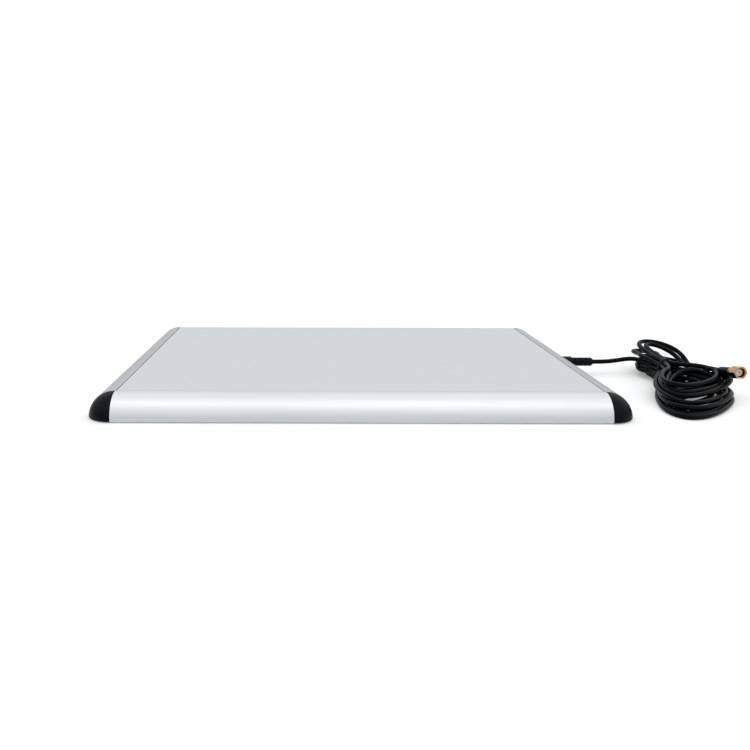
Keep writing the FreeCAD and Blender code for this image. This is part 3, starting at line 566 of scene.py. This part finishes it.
FLOOR_HALF = 2
FLOOR_COLOUR = (0.86, 0.86, 0.87, 1)
FLOOR_SEEN = (0.91, 0.91, 0.91, 1)      # the floor's colour as the camera sees it
FLOOR_GLOW = 0.22                       # for the camera alone
SKY_COLOUR = (0.98, 0.99, 1.0, 1)
SKY_TOP = 0.68                          # above this height on the unit sphere the sky is even
SKY_LEVELS = (0.38, 0.96)               # at the horizon and above SKY_TOP
WHITE = (1, 1, 1, 1)
STRIP_PLACE = (0.1, -1.05, 3.0)
STRIP_AIM = (0.1, -0.05, 0)
STRIP_SIZE = (3.9, 1.1)
STRIP_POWER = 8
SENSOR = 36
LENS = 34.93
SHIFT_X = 0.0769
CAMERA_PLACE = (-0.02713, -0.5482, 0.13734)
CAMERA_DOWN = 14.161                    # degrees below level
CAMERA_ROLL = 0.148

mesh = bpy.data.meshes.new("floor")
corners = [(-FLOOR_HALF, -FLOOR_HALF, 0), (FLOOR_HALF, -FLOOR_HALF, 0),
           (FLOOR_HALF, FLOOR_HALF, 0), (-FLOOR_HALF, FLOOR_HALF, 0)]
mesh.from_pydata(corners, [], [(0, 1, 2, 3)])
floor = bpy.data.objects.new("floor", mesh)
scene.collection.objects.link(floor)

floor_paint = bpy.data.materials.new("floor_paper")
floor_paint.use_nodes = True
tree = floor_paint.node_tree
shader = tree.nodes["Principled BSDF"]
shader.inputs["Roughness"].default_value = 0.9
shader.inputs["Specular IOR Level"].default_value = 0.0
seen = tree.nodes.new("ShaderNodeLightPath")
tone = tree.nodes.new("ShaderNodeMix")
tone.data_type = "RGBA"
tone.inputs["A"].default_value = FLOOR_COLOUR
tone.inputs["B"].default_value = FLOOR_SEEN
tree.links.new(seen.outputs["Is Camera Ray"], tone.inputs["Factor"])
tree.links.new(tone.outputs["Result"], shader.inputs["Base Color"])
shader.inputs["Emission Color"].default_value = WHITE
glow = tree.nodes.new("ShaderNodeMath")
glow.operation = "MULTIPLY"
glow.inputs[1].default_value = FLOOR_GLOW
tree.links.new(seen.outputs["Is Camera Ray"], glow.inputs[0])
tree.links.new(glow.outputs["Value"], shader.inputs["Emission Strength"])
floor.data.materials.append(floor_paint)

world = bpy.data.worlds.new("studio")
scene.world = world
world.use_nodes = True
tree = world.node_tree
sky = tree.nodes["Background"]
sky.inputs["Color"].default_value = SKY_COLOUR
white = tree.nodes.new("ShaderNodeBackground")
white.inputs["Strength"].default_value = 1.0
white.inputs["Color"].default_value = WHITE
way = tree.nodes.new("ShaderNodeTexCoord")
split = tree.nodes.new("ShaderNodeSeparateXYZ")
rise = tree.nodes.new("ShaderNodeMapRange")
rise.inputs["From Min"].default_value = 0.0
rise.inputs["From Max"].default_value = SKY_TOP
rise.inputs["To Min"].default_value, rise.inputs["To Max"].default_value = SKY_LEVELS
tree.links.new(way.outputs["Generated"], split.inputs["Vector"])
tree.links.new(split.outputs["Z"], rise.inputs["Value"])
tree.links.new(rise.outputs["Result"], sky.inputs["Strength"])
choose = tree.nodes.new("ShaderNodeMixShader")
seen = tree.nodes.new("ShaderNodeLightPath")
tree.links.new(seen.outputs["Is Camera Ray"], choose.inputs["Fac"])
tree.links.new(sky.outputs["Background"], choose.inputs[1])
tree.links.new(white.outputs["Background"], choose.inputs[2])
tree.links.new(choose.outputs["Shader"], tree.nodes["World Output"].inputs["Surface"])

light = bpy.data.lights.new("strip_light", "AREA")
light.shape = "RECTANGLE"
light.size, light.size_y = STRIP_SIZE
light.energy = STRIP_POWER
strip = bpy.data.objects.new("strip_light", light)
scene.collection.objects.link(strip)
strip.location = STRIP_PLACE
strip.rotation_euler = (Vector(STRIP_AIM) - Vector(STRIP_PLACE)).to_track_quat("-Z", "Y").to_euler()

camera_data = bpy.data.cameras.new("camera")
camera_data.sensor_width = SENSOR
camera_data.lens = LENS
camera_data.shift_x = SHIFT_X
camera_data.clip_start = 0.02
camera_data.clip_end = 50
camera = bpy.data.objects.new("camera", camera_data)
scene.collection.objects.link(camera)
tilt = Matrix.Rotation(math.radians(90 - CAMERA_DOWN), 4, "X") @ Matrix.Rotation(math.radians(CAMERA_ROLL), 4, "Z")
camera.matrix_world = Matrix.Translation(CAMERA_PLACE) @ tilt
scene.camera = camera
scene.view_settings.view_transform = "Standard"

bpy.context.view_layer.update()
